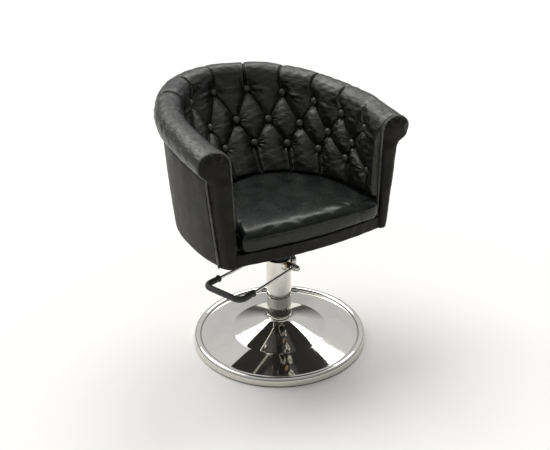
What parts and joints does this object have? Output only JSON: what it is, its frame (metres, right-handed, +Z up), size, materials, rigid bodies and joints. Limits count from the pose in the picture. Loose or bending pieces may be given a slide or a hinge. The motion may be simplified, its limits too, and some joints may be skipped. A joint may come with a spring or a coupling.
{
  "type": "styling chair",
  "caption": "Upholstered tub styling chair with rolled arms and a buttoned back on a hydraulic pump column with a foot pedal and a round base.",
  "frame": {"origin": "on the floor at the centre of the base, on the column's axis", "axes": "+Z up, -Y the way the seat faces, +X the sitter's left"},
  "size_m": [0.7284, 0.758, 0.881],
  "materials": {
    "chrome": "bright chrome plate, polished",
    "steel": "zinc plated steel, satin",
    "iron": "cast iron, black enamel",
    "brass": "machined bronze, satin",
    "rubber": "moulded rubber, matt",
    "plywood": "birch plywood, unfinished",
    "deck_foam": "foam and webbing under cloth",
    "dust_cloth": "black non-woven cloth",
    "tub_leather": "black grained leather, semi-gloss",
    "side_leather": "black grained leather, slightly warm, satin",
    "cushion_leather": "black leather, smoother and glossier than the tub"
  },
  "bodies": {
    "base": {"base_plate": "iron", "floor_ring": "rubber", "base_cover": "chrome", "pump_flange": "iron", "flange_bolt_1": "steel", "flange_bolt_2": "steel", "flange_bolt_3": "steel", "flange_bolt_4": "steel", "guide_tube": "chrome", "piston_rod": "steel", "piston_head": "brass"},
    "lift": {"cylinder_barrel": "steel", "gland_nut": "brass", "swivel_bearing": "steel"},
    "chair": {"pump_head": "iron", "valve_cap": "chrome", "outer_sleeve": "chrome", "sleeve_lip": "chrome", "guide_bush": "brass", "shaft_bush_near": "brass", "shaft_bush_far": "brass", "return_spring": "steel", "mounting_plate": "iron", "dust_cover": "dust_cloth", "seat_board": "plywood", "plate_bolt_1": "steel", "plate_bolt_2": "steel", "plate_bolt_3": "steel", "plate_bolt_4": "steel", "left_outer_panel": "side_leather", "left_frame": "plywood", "left_pad": "tub_leather", "left_roll": "tub_leather", "back_outer_panel": "side_leather", "back_frame": "plywood", "back_pad": "tub_leather", "back_roll": "tub_leather", "right_outer_panel": "side_leather", "right_frame": "plywood", "right_pad": "tub_leather", "right_roll": "tub_leather", "left_arm_front": "side_leather", "left_scroll_cap": "tub_leather", "right_arm_front": "side_leather", "right_scroll_cap": "tub_leather", "front_rail": "side_leather", "seat_deck": "deck_foam", "seat_cushion": "cushion_leather"},
    "pedal": {"cross_shaft": "steel", "pump_cam": "iron", "pedal_bar": "chrome", "pedal_grip": "rubber", "pedal_hub_near": "chrome", "shaft_knob_near": "chrome", "grip_collar_near": "rubber", "pedal_hub_far": "chrome", "shaft_knob_far": "chrome", "grip_collar_far": "rubber"},
    "plunger": {"pump_plunger": "steel"}
  },
  "joints": [
    {"name": "height_lift", "type": "slide", "parent": "base", "child": "lift", "axis": [0, 0, 1], "range_m": [0, 0.13]},
    {"name": "seat_swivel", "type": "hinge", "parent": "lift", "child": "chair", "pos_m": [0, 0, 0.255], "axis": [0, 0, 1], "continuous": true},
    {"name": "pedal_press", "type": "hinge", "parent": "chair", "child": "pedal", "pos_m": [0, 0, 0.295], "axis": [0.3486, -0.9373, 0], "range_deg": [0, 24], "stiffness_Nm_per_rad": 6, "springref_deg": -22.92},
    {"name": "plunger_stroke", "type": "slide", "parent": "chair", "child": "plunger", "axis": [0, 0, -1], "range_m": [0, 0.0095]}
  ],
  "couplings": [
    {"joint": "plunger_stroke", "follows": "pedal_press", "m_per_rad": 0.022}
  ]
}
